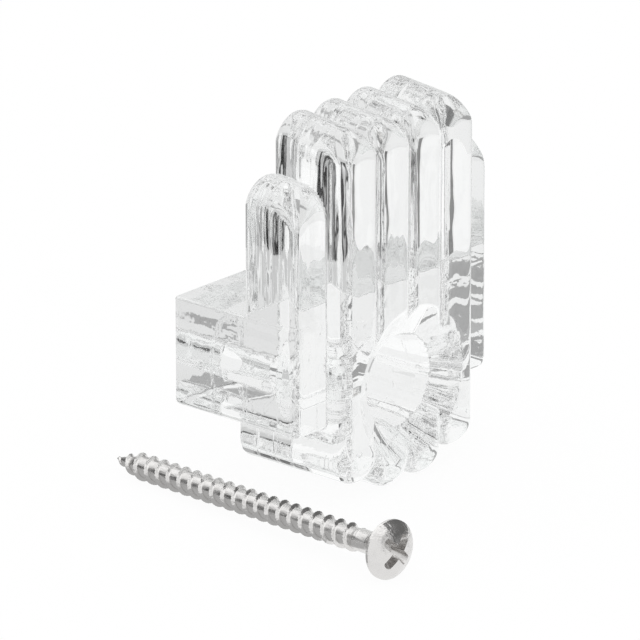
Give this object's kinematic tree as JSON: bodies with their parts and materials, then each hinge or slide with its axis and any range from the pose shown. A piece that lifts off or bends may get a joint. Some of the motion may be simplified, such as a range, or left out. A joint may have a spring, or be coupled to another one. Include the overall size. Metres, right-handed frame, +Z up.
{
  "type": "mirror clip",
  "caption": "Clear moulded wall clip whose ledge and fluted lip hold the edge of a mirror, with its raised countersunk cross-recess wood screw beside it.",
  "frame": {"origin": "where the axis of the screw hole meets the wall, in the plane of the clip's back", "axes": "+Z up, the room at -Y, +X to the right as seen from the room"},
  "size_m": [0.0477, 0.0506, 0.0482],
  "materials": {
    "clear_plastic": "polished clear acrylic plastic",
    "screw_steel": "bright zinc plated steel"
  },
  "bodies": {
    "root": {"clip_body": "clear_plastic", "fixing_screw": "screw_steel"}
  },
  "joints": []
}
